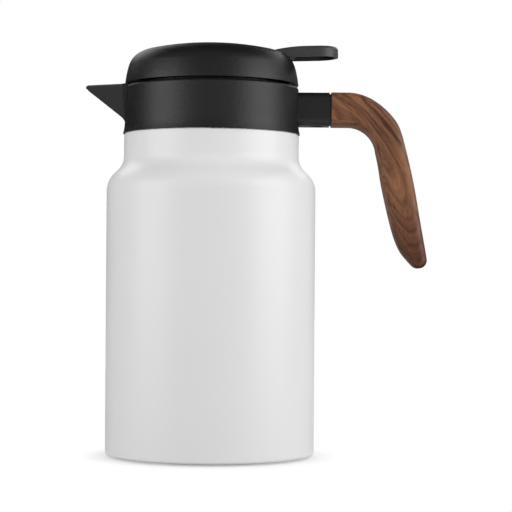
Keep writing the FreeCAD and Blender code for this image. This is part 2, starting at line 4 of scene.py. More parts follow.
import bpy
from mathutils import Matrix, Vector

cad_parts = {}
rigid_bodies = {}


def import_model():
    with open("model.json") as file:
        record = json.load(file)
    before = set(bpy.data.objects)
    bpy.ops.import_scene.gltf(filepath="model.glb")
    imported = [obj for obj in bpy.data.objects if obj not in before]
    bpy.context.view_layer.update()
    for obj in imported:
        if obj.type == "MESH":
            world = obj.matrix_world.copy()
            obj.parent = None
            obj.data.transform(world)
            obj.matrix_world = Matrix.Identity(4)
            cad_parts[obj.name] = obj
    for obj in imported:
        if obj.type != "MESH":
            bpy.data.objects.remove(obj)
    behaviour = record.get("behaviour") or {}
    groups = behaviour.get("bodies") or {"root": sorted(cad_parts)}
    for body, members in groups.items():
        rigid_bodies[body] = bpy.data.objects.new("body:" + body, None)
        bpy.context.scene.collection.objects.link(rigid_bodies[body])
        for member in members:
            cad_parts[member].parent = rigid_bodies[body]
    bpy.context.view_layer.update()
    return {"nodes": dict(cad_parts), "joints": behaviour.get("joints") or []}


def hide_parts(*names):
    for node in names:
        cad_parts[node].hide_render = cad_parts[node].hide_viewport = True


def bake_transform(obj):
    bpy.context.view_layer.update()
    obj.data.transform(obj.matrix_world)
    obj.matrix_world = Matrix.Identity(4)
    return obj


for leftover in list(bpy.data.objects):
    bpy.data.objects.remove(leftover)

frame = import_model()

bl_info = {
    "name": "Thermal jug",
    "version": (1, 0, 0),
    "blender": (4, 5, 0),
    "location": "View3D > Sidebar > Jug",
    "description": "Gives a thermal jug its finishes and sets it in a plain studio",
    "category": "Object",
}

HINGE = Vector(frame["joints"][0]["pos_m"])


def linear(hex_colour):
    """Linear red, green and blue of an sRGB hex colour."""
    channels = [int(hex_colour[start:start + 2], 16) / 255 for start in (1, 3, 5)]
    return tuple(c / 12.92 if c <= 0.04045 else ((c + 0.055) / 1.055) ** 2.4 for c in channels)


# Sizes and colours that a user would change

def length(name, description, default):
    """A length in metres that a user can set."""
    return bpy.props.FloatProperty(
        name=name, description=description, default=default, unit="LENGTH", precision=5)


def colour(name, description, hex_colour):
    """A colour that a user can set."""
    return bpy.props.FloatVectorProperty(
        name=name, description=description, default=linear(hex_colour), subtype="COLOR", size=3, min=0, max=1)


class JugSizes(bpy.types.PropertyGroup):
    coat_ripple: length("Coat ripple", "Width of one ripple of the powder coat", 0.0016)
    plastic_grain: length("Plastic grain", "Width of one pit of the moulded grain", 0.0008)
    ring_spacing: length("Ring spacing", "Distance between two growth rings of the walnut", 0.0017)
    pore_length: length("Pore length", "Length of one pore of the walnut", 0.007)
    pore_width: length("Pore width", "Width of one pore of the walnut", 0.0004)
    brush_width: length("Brush width", "Width of one brush mark on the steel", 0.0003)
    foam_cell: length("Foam cell", "Width of one cell of the foam", 0.0012)
    spring_wire: length("Spring wire", "Thickness of the closing spring's wire", 0.0007)
    spring_radius: length("Spring radius", "Radius of the closing spring at the middle of its wire", 0.0021)
    spring_pitch: length("Spring pitch", "Distance between two turns of the closing spring", 0.00125)
    spring_turns: bpy.props.FloatProperty(
        name="Spring turns", description="Turns of the closing spring", default=5.25)
    spring_fixed_leg: length("Fixed leg", "Length of the spring's leg in the collar", 0.0015)
    spring_free_leg: length("Free leg", "Length of the spring's leg on the lid", 0.0042)


class JugColours(bpy.types.PropertyGroup):
    coat: colour("Coat", "Powder coat of the body", "#E4E4E4")
    plastic: colour("Plastic", "Black plastic of the collar and lid", "#131313")
    # The lever's colour is a lighter copy of the black plastic, the same all over the lever: painted light
    # for the light its side catches
    lever: colour("Lever", "Black plastic of the lever, paler where thumbs press it", "#383838")
    walnut_light: colour("Light walnut", "Early wood of the handle", "#976646")
    walnut_dark: colour("Dark walnut", "Late wood of the handle", "#48291C")
    walnut_pore: colour("Walnut pore", "Tint of the walnut's open pores", "#94796B")
    # The tip's tint is partly painted shade, where the lower grip and tip face downwards, and partly end
    # grain that soaks up more oil
    walnut_tip_shade_and_oil: colour("Walnut tip", "Tint of the oiled end grain at the handle's tip", "#AE978B")
    steel: colour("Steel", "Stainless steel of the flask", "#B4B2AE")
    dark_steel: colour("Dark steel", "Blackened steel of the handle's screw", "#2B2B2C")
    brass: colour("Brass", "Dull brass of the vacuum plug", "#B08D4E")
    silicone: colour("Silicone", "Milky silicone of the seals", "#D6D4CC")
    dark_silicone: colour("Dark silicone", "Dark silicone of the pad and the handle's washer", "#262626")
    foam_low: colour("Foam walls", "Walls between the foam's cells", "#CFC39F")
    foam_high: colour("Foam cells", "Cells of the foam", "#EFE8D2")
    floor: colour("Floor", "Studio floor", "#B8B8B8")


# Materials

# Sockets of a Mix node that mixes colours
FACTOR = 0
FIRST = 6
SECOND = 7
MIXED = 2

# Shares of its own colour between which each finish varies
COAT_SHARES = (0.985, 1.015)
PLASTIC_SHARES = (0.5, 1.5)
METAL_SHARES = (0.88, 1.08)
SILICONE_SHARES = (0.9, 1.08)
WIRE_SHARES = (0.85, 1.0)

# Width of a cloud, a spot or a die mark in the finishes, and length of a brush mark
COAT_CLOUD = 0.0556
PLASTIC_CLOUD = 0.0167
SILICONE_SPOT = 0.00143
DIE_MARK = 0.00025
BRUSH_LENGTH = 0.125

# Share of the light that passes into the milky silicone and out again
SEAL_CLOUDINESS = 0.25


def add_node(tree, kind, settings=None, inputs=None):
    """Adds a node, sets its settings, and sets or links its inputs."""
    node = tree.nodes.new(kind)
    for name, value in (settings or {}).items():
        setattr(node, name, value)
    for socket, value in (inputs or {}).items():
        if isinstance(value, bpy.types.NodeSocket):
            tree.links.new(value, node.inputs[socket])
        else:
            node.inputs[socket].default_value = value
    return node


def start_material(name):
    """An empty material with its node tree and the place on the piece."""
    material = bpy.data.materials.new(name)
    material.use_nodes = True
    tree = material.node_tree
    tree.nodes.clear()
    place = add_node(tree, "ShaderNodeTexCoord").outputs["Object"]
    return material, tree, place


def shade(rgb, share=1.0):
    """This share of a colour, opaque."""
    return tuple(min(1, c * share) for c in rgb) + (1,)


def dress(material, *nodes):
    """Gives CAD nodes this material."""
    for name in nodes:
        mesh = frame["nodes"][name].data
        mesh.materials.clear()
        mesh.materials.append(material)


def powder_coat(sizes, colours):
    """Polyester powder coat, sprayed and baked: satin, with a faint ripple like orange peel."""
    material, tree, place = start_material("satin_powder_coat")
    ripple = add_node(tree, "ShaderNodeTexNoise", inputs={
        "Vector": place, "Scale": 1 / sizes.coat_ripple, "Detail": 2.0, "Roughness": 0.5}).outputs["Fac"]
    cloud = add_node(tree, "ShaderNodeTexNoise", inputs={
        "Vector": place, "Scale": 1 / COAT_CLOUD, "Detail": 1.0}).outputs["Fac"]
    tint = add_node(tree, "ShaderNodeMix", {"data_type": "RGBA"}, {
        FACTOR: cloud,
        FIRST: shade(colours.coat, COAT_SHARES[0]),
        SECOND: shade(colours.coat, COAT_SHARES[1])}).outputs[MIXED]
    roughness = add_node(tree, "ShaderNodeMapRange", inputs={
        "Value": ripple, "To Min": 0.3, "To Max": 0.38}).outputs["Result"]
    bump = add_node(tree, "ShaderNodeBump", inputs={
        "Height": ripple, "Strength": 0.12, "Distance": 0.00006}).outputs["Normal"]
    shader = add_node(tree, "ShaderNodeBsdfPrincipled", inputs={
        "Base Color": tint, "Roughness": roughness, "IOR": 1.5,
        "Specular IOR Level": 0.4, "Normal": bump})
    add_node(tree, "ShaderNodeOutputMaterial", inputs={"Surface": shader.outputs["BSDF"]})
    return material


def moulded_plastic(name, rgb, sizes):
    """Black polypropylene, moulded in a spark-eroded tool: matt, with fine pits.

    The pits are drawn coarse enough to show.
    """
    material, tree, place = start_material(name)
    grain = add_node(tree, "ShaderNodeTexNoise", inputs={
        "Vector": place, "Scale": 1 / sizes.plastic_grain, "Detail": 2.0, "Roughness": 0.5}).outputs["Fac"]
    cloud = add_node(tree, "ShaderNodeTexNoise", inputs={
        "Vector": place, "Scale": 1 / PLASTIC_CLOUD, "Detail": 2.0}).outputs["Fac"]
    tint = add_node(tree, "ShaderNodeMix", {"data_type": "RGBA"}, {
        FACTOR: grain,
        FIRST: shade(rgb, PLASTIC_SHARES[0]),
        SECOND: shade(rgb, PLASTIC_SHARES[1])}).outputs[MIXED]
    roughness = add_node(tree, "ShaderNodeMapRange", inputs={
        "Value": cloud, "To Min": 0.38, "To Max": 0.46}).outputs["Result"]
    bump = add_node(tree, "ShaderNodeBump", inputs={
        "Height": grain, "Strength": 0.8, "Distance": 0.0002}).outputs["Normal"]
    shader = add_node(tree, "ShaderNodeBsdfPrincipled", inputs={
        "Base Color": tint, "Roughness": roughness, "IOR": 1.49,
        "Specular IOR Level": 0.4, "Normal": bump})
    add_node(tree, "ShaderNodeOutputMaterial", inputs={"Surface": shader.outputs["BSDF"]})
    return material


# The walnut's grain bends about this point of the XZ plane
GRAIN_CENTRE = (0.014, 0.128)
GRAIN_RADIUS = 0.106

# Its rings close in arches along a line that drifts outwards down the handle, and they close faster near
# the tip
ARCH_MIDDLE = 0.0022
ARCH_DRIFT = 0.12
ARCH_WIDTH = 0.0075
GRIP_CLOSING = 0.09
TIP_CLOSING = 0.25
TIP_START = -0.022
TIP_SOFTNESS = 0.02

# Length along the grain and width across it of the ways in which the wood varies
WANDER_LENGTH = 0.08
WANDER_WIDTH = 0.012
LATE_WOOD_LENGTH = 0.09
STREAK_LENGTH = 0.022
STREAK_WIDTH = 0.0011
PATCH_LENGTH = 0.03
PATCH_WIDTH = 0.008

# How far the rings wander sideways, and how much each way of varying darkens the wood
RING_WANDER = 0.006
LATE_WOOD_WEIGHT = 0.56
PATCH_WEIGHT = 0.8
FIBRE_WEIGHT = 0.32

# Where the late wood, the dark tone and the pores begin, and where they are full
LATE_WOOD_RISE = (0.32, 0.74)
TONE_RISE = (0.8, 1.68)
PORE_RISE = (0.58, 0.7)

# Stretch of the handle, measured down it, over which the wood is made darker: painted shade where the lower
# grip and tip face downwards, and end grain that soaks up more oil at the tip
END_GRAIN_AND_SHADE = (-0.03, 0.012)


def walnut_grain(tree, place):
    """Distance down the bent handle, across it and through it."""
    split = add_node(tree, "ShaderNodeSeparateXYZ", inputs={0: place})
    out = add_node(tree, "ShaderNodeMath", {"operation": "SUBTRACT"}, {
        0: split.outputs["X"], 1: GRAIN_CENTRE[0]}).outputs[0]
    up = add_node(tree, "ShaderNodeMath", {"operation": "SUBTRACT"}, {
        0: split.outputs["Z"], 1: GRAIN_CENTRE[1]}).outputs[0]
    flat = add_node(tree, "ShaderNodeCombineXYZ", inputs={"X": out, "Y": up}).outputs[0]
    reach = add_node(tree, "ShaderNodeVectorMath", {"operation": "LENGTH"}, {0: flat}).outputs["Value"]
    turn = add_node(tree, "ShaderNodeMath", {"operation": "ARCTAN2"}, {0: up, 1: out}).outputs[0]
    down = add_node(tree, "ShaderNodeMath", {"operation": "MULTIPLY"}, {
        0: turn, 1: -GRAIN_RADIUS}).outputs[0]
    across = add_node(tree, "ShaderNodeMath", {"operation": "SUBTRACT"}, {
        0: reach, 1: GRAIN_RADIUS}).outputs[0]
    return down, across, split.outputs["Y"]


def growth_arches(tree, down, across):
    """Distance from the heart of the growth rings, which stand as nested arches closed towards the tip."""
    middle = add_node(tree, "ShaderNodeMath", {"operation": "MULTIPLY_ADD"}, {
        0: down, 1: -ARCH_DRIFT, 2: -ARCH_MIDDLE}).outputs[0]
    offset = add_node(tree, "ShaderNodeMath", {"operation": "ADD"}, {0: across, 1: middle}).outputs[0]
    squared = add_node(tree, "ShaderNodeMath", {"operation": "MULTIPLY"}, {0: offset, 1: offset}).outputs[0]
    softened = add_node(tree, "ShaderNodeMath", {"operation": "ADD"}, {
        0: squared, 1: ARCH_WIDTH ** 2}).outputs[0]
    sides = add_node(tree, "ShaderNodeMath", {"operation": "SQRT"}, {0: softened}).outputs[0]
    grip = add_node(tree, "ShaderNodeMath", {"operation": "MULTIPLY_ADD"}, {
        0: down, 1: GRIP_CLOSING, 2: sides}).outputs[0]
    near_tip = add_node(tree, "ShaderNodeMath", {"operation": "SMOOTH_MAX"}, {
        0: down, 1: TIP_START, 2: TIP_SOFTNESS}).outputs[0]
    return add_node(tree, "ShaderNodeMath", {"operation": "MULTIPLY_ADD"}, {
        0: near_tip, 1: TIP_CLOSING, 2: grip}).outputs[0]


def wood_spots(tree, place, lengthwise, crosswise, detail):
    """Spots in the wood that are so long along the grain and so wide across it, in metres."""
    scaled = add_node(tree, "ShaderNodeMapping", inputs={
        "Vector": place, "Scale": (1 / lengthwise, 1 / crosswise, 1 / crosswise)}).outputs[0]
    return add_node(tree, "ShaderNodeTexNoise", inputs={
        "Vector": scaled, "Scale": 1.0, "Detail": detail, "Roughness": 0.6}).outputs["Fac"]


def wood_tone(tree, late_wood, streak, patch, fibre):
    """How dark the wood is, from 0 for the lightest early wood to 1 for the darkest late wood."""
    line = add_node(tree, "ShaderNodeMapRange", {"interpolation_type": "SMOOTHSTEP"}, {
        "Value": late_wood, "From Min": LATE_WOOD_RISE[0], "From Max": LATE_WOOD_RISE[1]}).outputs["Result"]
    tone = streak
    for part, weight in ((line, LATE_WOOD_WEIGHT), (patch, PATCH_WEIGHT), (fibre, FIBRE_WEIGHT)):
        tone = add_node(tree, "ShaderNodeMath", {"operation": "MULTIPLY_ADD"}, {
            0: part, 1: weight, 2: tone}).outputs[0]
    return add_node(tree, "ShaderNodeMapRange", inputs={
        "Value": tone, "From Min": TONE_RISE[0], "From Max": TONE_RISE[1]}).outputs["Result"]


def oiled_walnut(sizes, colours):
    """American walnut, cut from a board and oiled: rings that sweep round the bend and arch at the tip.

    Its open pores run down the handle, and are drawn wide enough to show.
    """
    material, tree, place = start_material("oiled_walnut")
    down, across, through = walnut_grain(tree, place)
    flat = add_node(tree, "ShaderNodeCombineXYZ", inputs={"X": down, "Y": across, "Z": through}).outputs[0]
    wander = wood_spots(tree, flat, WANDER_LENGTH, WANDER_WIDTH, detail=2.0)
    arches = growth_arches(tree, down, across)
    ring = add_node(tree, "ShaderNodeMath", {"operation": "MULTIPLY_ADD"}, {
        0: wander, 1: RING_WANDER, 2: arches}).outputs[0]
    grain = add_node(tree, "ShaderNodeCombineXYZ", inputs={"X": down, "Y": ring, "Z": through}).outputs[0]
    late_wood = wood_spots(tree, grain, LATE_WOOD_LENGTH, sizes.ring_spacing, detail=1.0)
    streak = wood_spots(tree, grain, STREAK_LENGTH, STREAK_WIDTH, detail=3.0)
    patch = wood_spots(tree, grain, PATCH_LENGTH, PATCH_WIDTH, detail=1.0)
    fibre = wood_spots(tree, flat, sizes.pore_length, sizes.pore_width, detail=2.0)
    tone = wood_tone(tree, late_wood, streak, patch, fibre)
    wood = add_node(tree, "ShaderNodeMix", {"data_type": "RGBA"}, {
        FACTOR: tone, FIRST: shade(colours.walnut_light), SECOND: shade(colours.walnut_dark)}).outputs[MIXED]
    pore = add_node(tree, "ShaderNodeMapRange", {"interpolation_type": "SMOOTHSTEP"}, {
        "Value": fibre, "From Min": PORE_RISE[0], "From Max": PORE_RISE[1]}).outputs["Result"]
    pored = add_node(tree, "ShaderNodeMix", {"data_type": "RGBA", "blend_type": "MULTIPLY"}, {
        FACTOR: pore, FIRST: wood, SECOND: shade(colours.walnut_pore)}).outputs[MIXED]
    # Painted shade and the end grain's oil darken the lower grip and tip together
    tip = add_node(tree, "ShaderNodeMapRange", {"interpolation_type": "SMOOTHSTEP"}, {
        "Value": down, "From Min": END_GRAIN_AND_SHADE[0], "From Max": END_GRAIN_AND_SHADE[1]}).outputs["Result"]
    shaded_and_soaked = add_node(tree, "ShaderNodeMix", {"data_type": "RGBA", "blend_type": "MULTIPLY"}, {
        FACTOR: tip, FIRST: pored, SECOND: shade(colours.walnut_tip_shade_and_oil)}).outputs[MIXED]
    roughness = add_node(tree, "ShaderNodeMapRange", inputs={
        "Value": fibre, "To Min": 0.38, "To Max": 0.5}).outputs["Result"]
    bump = add_node(tree, "ShaderNodeBump", {"invert": True}, {
        "Height": pore, "Strength": 0.3, "Distance": 0.0001}).outputs["Normal"]
    shader = add_node(tree, "ShaderNodeBsdfPrincipled", inputs={
        "Base Color": shaded_and_soaked, "Roughness": roughness, "IOR": 1.5,
        "Specular IOR Level": 0.28, "Normal": bump})
    add_node(tree, "ShaderNodeOutputMaterial", inputs={"Surface": shader.outputs["BSDF"]})
    return material


def turned_metal(name, rgb, sizes):
    """Metal, spun and satin-brushed: fine marks lie level round it, drawn wide enough to show."""
    material, tree, place = start_material(name)
    marks = add_node(tree, "ShaderNodeMapping", inputs={
        "Vector": place, "Scale": (1 / BRUSH_LENGTH, 1 / BRUSH_LENGTH, 1 / sizes.brush_width)}).outputs[0]
    brush = add_node(tree, "ShaderNodeTexNoise", inputs={
        "Vector": marks, "Scale": 1.0, "Detail": 3.0}).outputs["Fac"]
    tint = add_node(tree, "ShaderNodeMix", {"data_type": "RGBA"}, {
        FACTOR: brush,
        FIRST: shade(rgb, METAL_SHARES[0]),
        SECOND: shade(rgb, METAL_SHARES[1])}).outputs[MIXED]
    roughness = add_node(tree, "ShaderNodeMapRange", inputs={
        "Value": brush, "To Min": 0.24, "To Max": 0.4}).outputs["Result"]
    bump = add_node(tree, "ShaderNodeBump", inputs={
        "Height": brush, "Strength": 0.1, "Distance": 0.00002}).outputs["Normal"]
    shader = add_node(tree, "ShaderNodeBsdfPrincipled", inputs={
        "Base Color": tint, "Metallic": 1.0, "Roughness": roughness, "Normal": bump})
    add_node(tree, "ShaderNodeOutputMaterial", inputs={"Surface": shader.outputs["BSDF"]})
    return material


def moulded_silicone(name, rgb, cloudiness):
    """Silicone rubber, moulded: soft sheen, and a faint mottle like dust, drawn coarse enough to show.

    Some light passes through the milky kind.
    """
    material, tree, place = start_material(name)
    mottle = add_node(tree, "ShaderNodeTexNoise", inputs={
        "Vector": place, "Scale": 1 / SILICONE_SPOT, "Detail": 3.0}).outputs["Fac"]
    tint = add_node(tree, "ShaderNodeMix", {"data_type": "RGBA"}, {
        FACTOR: mottle,
        FIRST: shade(rgb, SILICONE_SHARES[0]),
        SECOND: shade(rgb, SILICONE_SHARES[1])}).outputs[MIXED]
    roughness = add_node(tree, "ShaderNodeMapRange", inputs={
        "Value": mottle, "To Min": 0.45, "To Max": 0.62}).outputs["Result"]
    bump = add_node(tree, "ShaderNodeBump", inputs={
        "Height": mottle, "Strength": 0.12, "Distance": 0.00004}).outputs["Normal"]
    shader = add_node(tree, "ShaderNodeBsdfPrincipled", inputs={
        "Base Color": tint, "Roughness": roughness, "IOR": 1.41, "Subsurface Weight": cloudiness,
        "Subsurface Scale": 0.002, "Normal": bump})
    add_node(tree, "ShaderNodeOutputMaterial", inputs={"Surface": shader.outputs["BSDF"]})
    return material


def cream_foam(sizes, colours):
    """Closed-cell polyurethane foam: cream, matt, with round cells about a millimetre wide."""
    material, tree, place = start_material("cream_foam")
    cells = add_node(tree, "ShaderNodeTexVoronoi", inputs={
        "Vector": place, "Scale": 1 / sizes.foam_cell}).outputs["Distance"]
    tint = add_node(tree, "ShaderNodeMix", {"data_type": "RGBA"}, {
        FACTOR: cells, FIRST: shade(colours.foam_low), SECOND: shade(colours.foam_high)}).outputs[MIXED]
    bump = add_node(tree, "ShaderNodeBump", inputs={
        "Height": cells, "Strength": 0.5, "Distance": 0.0004}).outputs["Normal"]
    shader = add_node(tree, "ShaderNodeBsdfPrincipled", inputs={
        "Base Color": tint, "Roughness": 0.85, "Normal": bump})
    add_node(tree, "ShaderNodeOutputMaterial", inputs={"Surface": shader.outputs["BSDF"]})
    return material


def spring_steel(colours):
    """Drawn stainless spring wire: bright, with faint marks of the drawing die, wide enough to show."""
    material, tree, place = start_material("drawn_spring_wire")
    marks = add_node(tree, "ShaderNodeTexNoise", inputs={
        "Vector": place, "Scale": 1 / DIE_MARK, "Detail": 2.0}).outputs["Fac"]
    tint = add_node(tree, "ShaderNodeMix", {"data_type": "RGBA"}, {
        FACTOR: marks,
        FIRST: shade(colours.steel, WIRE_SHARES[0]),
        SECOND: shade(colours.steel, WIRE_SHARES[1])}).outputs[MIXED]
    roughness = add_node(tree, "ShaderNodeMapRange", inputs={
        "Value": marks, "To Min": 0.2, "To Max": 0.32}).outputs["Result"]
    shader = add_node(tree, "ShaderNodeBsdfPrincipled", inputs={
        "Base Color": tint, "Metallic": 1.0, "Roughness": roughness})
    add_node(tree, "ShaderNodeOutputMaterial", inputs={"Surface": shader.outputs["BSDF"]})
    return material


# The closing spring

# Sides of the wire, and steps in which it is wound round once
WIRE_SIDES = 16
TURN_STEPS = 32

# How near a point lies to the middle of the wire's end, across it and along it, in thicknesses of the wire
END_REACH = 0.51
END_DEPTH = 0.15

# Points nearer to each other than this are one, and faces that meet at less than this angle look smooth
MERGE_DISTANCE = 0.000001
SMOOTH_ANGLE = math.radians(40)


def wound_wire(sizes):
    """A round wire wound about the hinge pin, as a tube open at both ends."""
    height = sizes.spring_pitch * sizes.spring_turns
    bpy.ops.object.select_all(action="DESELECT")
    bpy.ops.mesh.primitive_circle_add(vertices=WIRE_SIDES, radius=sizes.spring_wire / 2, location=HINGE)
    spring = bpy.context.object
    spring.name = "closing_spring"
    bpy.ops.object.mode_set(mode="EDIT")
    bpy.ops.mesh.select_all(action="SELECT")
    bpy.ops.transform.translate(value=(sizes.spring_radius, -height / 2, 0))
    bpy.ops.object.mode_set(mode="OBJECT")
    winding = spring.modifiers.new("winding", "SCREW")
    winding.axis = "Y"
    winding.angle = -2 * math.pi * sizes.spring_turns
    winding.screw_offset = height
    winding.steps = round(TURN_STEPS * sizes.spring_turns)
    winding.render_steps = winding.steps
    bpy.ops.object.modifier_apply(modifier=winding.name)
    return spring


def draw_leg(spring, wire, middle, way, reach):
    """Lengthens the wire's end that is centred on this point, and closes it."""
    bpy.ops.object.mode_set(mode="EDIT")
    bpy.ops.mesh.select_mode(type="VERT")
    bpy.ops.mesh.select_all(action="DESELECT")
    bpy.ops.object.mode_set(mode="OBJECT")
    for vertex in spring.data.vertices:
        offset = vertex.co - middle
        vertex.select = offset.length < wire * END_REACH and abs(offset.dot(way)) < wire * END_DEPTH
    bpy.ops.object.mode_set(mode="EDIT")
    bpy.ops.mesh.extrude_region_move(TRANSFORM_OT_translate={"value": way * reach})
    bpy.ops.mesh.edge_face_add()
    bpy.ops.object.mode_set(mode="OBJECT")


def spring_end(sizes, turn):
    """Middle of the wire and its direction after so many turns, seen from the hinge."""
    angle = 2 * math.pi * turn
    along = sizes.spring_pitch * (turn - sizes.spring_turns / 2)
    rise = sizes.spring_pitch / (2 * math.pi * sizes.spring_radius)
    middle = Vector((sizes.spring_radius * math.cos(angle), along, sizes.spring_radius * math.sin(angle)))
    way = Vector((-math.sin(angle), rise, math.cos(angle)))
    return middle, way.normalized()


# Stage

# The floor's width, and how far it lies below the pad, so that their faces don't lie in one another
FLOOR_SIZE = 6.0
FLOOR_DROP = 0.0002

# Glow that lifts the floor near the jug, and the distances from the jug's axis between which it turns white
FLOOR_LIFT = 0.5
FLOOR_FADE = (0.0625, 0.079)

# Share of the floor's white that satin faces don't mirror behind the jug, as if dark cloth lay there, and
# where along Y that cloth begins and is at its darkest
CLOTH_DIMMING = 0.7
CLOTH_REACH = (-0.2, 0.08)

# Strength of the surround's light, and the directions between which it changes: -1 is straight in front of
# the jug, and 1 is straight behind it
FRONT_REACH = (-0.7, 0.25)
FRONT_LEVELS = (0.7, 0.05)
REAR_REACH = (0.4, 0.95)
REAR_LEVEL = 1.05
BACKDROP_REACH = (0.985, 0.998)

# Share of the front's light that satin faces don't mirror, as if dark cloth hung there
MIRRORED_DIMMING = 0.55

WHITE = (1, 1, 1, 1)

# Name, place, width, height and power of each lamp, and the point that they all face
LAMPS = (
    ("left_soft_box", (-0.84, -0.44, 0.33), 0.75, 0.65, 4.5),
    ("right_soft_box", (0.9, -0.33, 0.4), 0.85, 0.8, 7.0),
    ("left_rim_lamp", (-0.5, 0.76, 0.78), 0.75, 0.4, 1.8),
    ("right_rim_lamp", (0.62, 0.68, 0.7), 0.8, 0.4, 1.7),
)
LAMP_TARGET = Vector((0, 0, 0.13))

# The camera stands level in front of the jug, and leans a little to one side
CAMERA_PLACE = (0.0273, -1.028, 0.1077)
CAMERA_TURN = (math.pi / 2, -0.0068, 0)
CAMERA_LENS = 120.45
CAMERA_SENSOR = 36
CAMERA_SHIFT = (-0.0002, 0.0393)
CAMERA_NEAREST = 0.01


def mirrored_rays(tree, path):
    """1 for rays that show the surround in a mirror or through glass, and 0 for all others."""
    return add_node(tree, "ShaderNodeMath", {"operation": "MAXIMUM"}, {
        0: path.outputs["Is Glossy Ray"], 1: path.outputs["Is Transmission Ray"]}).outputs[0]


def lay_floor(colours):
    """A pale floor that keeps the jug's shadow close to it and is white further away."""
    bpy.ops.object.select_all(action="DESELECT")
    bpy.ops.mesh.primitive_plane_add(size=FLOOR_SIZE, location=(0, 0, -FLOOR_DROP))
    floor = bpy.context.object
    floor.name = "studio_floor"
    material, tree, place = start_material("pale_floor")
    path = add_node(tree, "ShaderNodeLightPath")
    seen = add_node(tree, "ShaderNodeMath", {"operation": "MAXIMUM"}, {
        0: path.outputs["Is Camera Ray"], 1: mirrored_rays(tree, path)}).outputs[0]
    paper = add_node(tree, "ShaderNodeBsdfDiffuse", inputs={"Color": shade(colours.floor)})
    lift = add_node(tree, "ShaderNodeMath", {"operation": "MULTIPLY"}, {0: seen, 1: FLOOR_LIFT}).outputs[0]
    glow = add_node(tree, "ShaderNodeEmission", inputs={"Strength": lift})
    near = add_node(tree, "ShaderNodeAddShader", inputs={0: paper.outputs[0], 1: glow.outputs[0]})
    distance = add_node(tree, "ShaderNodeVectorMath", {"operation": "LENGTH"}, {0: place}).outputs["Value"]
    away = add_node(tree, "ShaderNodeMapRange", {"interpolation_type": "SMOOTHSTEP"}, {
        "Value": distance, "From Min": FLOOR_FADE[0], "From Max": FLOOR_FADE[1]}).outputs["Result"]
    fade = add_node(tree, "ShaderNodeMath", {"operation": "MULTIPLY"}, {0: away, 1: seen}).outputs[0]
    depth = add_node(tree, "ShaderNodeSeparateXYZ", inputs={0: place}).outputs["Y"]
    behind = add_node(tree, "ShaderNodeMapRange", {"interpolation_type": "SMOOTHSTEP"}, {
        "Value": depth, "From Min": CLOTH_REACH[0], "From Max": CLOTH_REACH[1]}).outputs["Result"]
    cloth = add_node(tree, "ShaderNodeMath", {"operation": "MULTIPLY"}, {
        0: path.outputs["Is Glossy Ray"], 1: behind}).outputs[0]
    shown = add_node(tree, "ShaderNodeMath", {"operation": "MULTIPLY_ADD"}, {
        0: cloth, 1: -CLOTH_DIMMING, 2: 1.0}).outputs[0]
    white = add_node(tree, "ShaderNodeEmission", inputs={"Strength": shown})
    mixed = add_node(tree, "ShaderNodeMixShader", inputs={0: fade, 1: near.outputs[0], 2: white.outputs[0]})
    add_node(tree, "ShaderNodeOutputMaterial", inputs={"Surface": mixed.outputs[0]})
    floor.data.materials.append(material)


def surround_light(tree, back, path):
    """Strength of the surround's light: bright in front, and behind for rays that don't mirror it."""
    front = add_node(tree, "ShaderNodeMapRange", {"interpolation_type": "SMOOTHSTEP"}, {
        "Value": back, "From Min": FRONT_REACH[0], "From Max": FRONT_REACH[1],
        "To Min": FRONT_LEVELS[0], "To Max": FRONT_LEVELS[1]}).outputs["Result"]
    dimming = add_node(tree, "ShaderNodeMath", {"operation": "MULTIPLY_ADD"}, {
        0: path.outputs["Is Glossy Ray"], 1: -MIRRORED_DIMMING, 2: 1.0}).outputs[0]
    rear = add_node(tree, "ShaderNodeMapRange", {"interpolation_type": "SMOOTHSTEP"}, {
        "Value": back, "From Min": REAR_REACH[0], "From Max": REAR_REACH[1],
        "To Min": 0.0, "To Max": REAR_LEVEL}).outputs["Result"]
    unmirrored = add_node(tree, "ShaderNodeMath", {"operation": "SUBTRACT"}, {
        0: 1.0, 1: path.outputs["Is Glossy Ray"]}).outputs[0]
    rear_light = add_node(tree, "ShaderNodeMath", {"operation": "MULTIPLY"}, {
        0: rear, 1: unmirrored}).outputs[0]
    return add_node(tree, "ShaderNodeMath", {"operation": "MULTIPLY_ADD"}, {
        0: front, 1: dimming, 2: rear_light}).outputs[0]


def light_world(scene):
    """White for the camera, with a white backdrop behind the jug. Its light comes from front and back."""
    world = bpy.data.worlds.new("white_surround")
    world.use_nodes = True
    tree = world.node_tree
    tree.nodes.clear()
    direction = add_node(tree, "ShaderNodeTexCoord").outputs["Generated"]
    back = add_node(tree, "ShaderNodeSeparateXYZ", inputs={0: direction}).outputs["Y"]
    path = add_node(tree, "ShaderNodeLightPath")
    fill = add_node(tree, "ShaderNodeBackground", inputs={
        "Color": WHITE, "Strength": surround_light(tree, back, path)})
    white = add_node(tree, "ShaderNodeBackground", inputs={"Color": WHITE, "Strength": 1.0})
    behind = add_node(tree, "ShaderNodeMapRange", {"interpolation_type": "SMOOTHSTEP"}, {
        "Value": back, "From Min": BACKDROP_REACH[0], "From Max": BACKDROP_REACH[1]}).outputs["Result"]
    backdrop = add_node(tree, "ShaderNodeMath", {"operation": "MULTIPLY"}, {
        0: behind, 1: mirrored_rays(tree, path)}).outputs[0]
    shown = add_node(tree, "ShaderNodeMath", {"operation": "MAXIMUM"}, {
        0: backdrop, 1: path.outputs["Is Camera Ray"]}).outputs[0]
    mixed = add_node(tree, "ShaderNodeMixShader", inputs={0: shown, 1: fill.outputs[0], 2: white.outputs[0]})
    add_node(tree, "ShaderNodeOutputWorld", inputs={"Surface": mixed.outputs[0]})
    scene.world = world


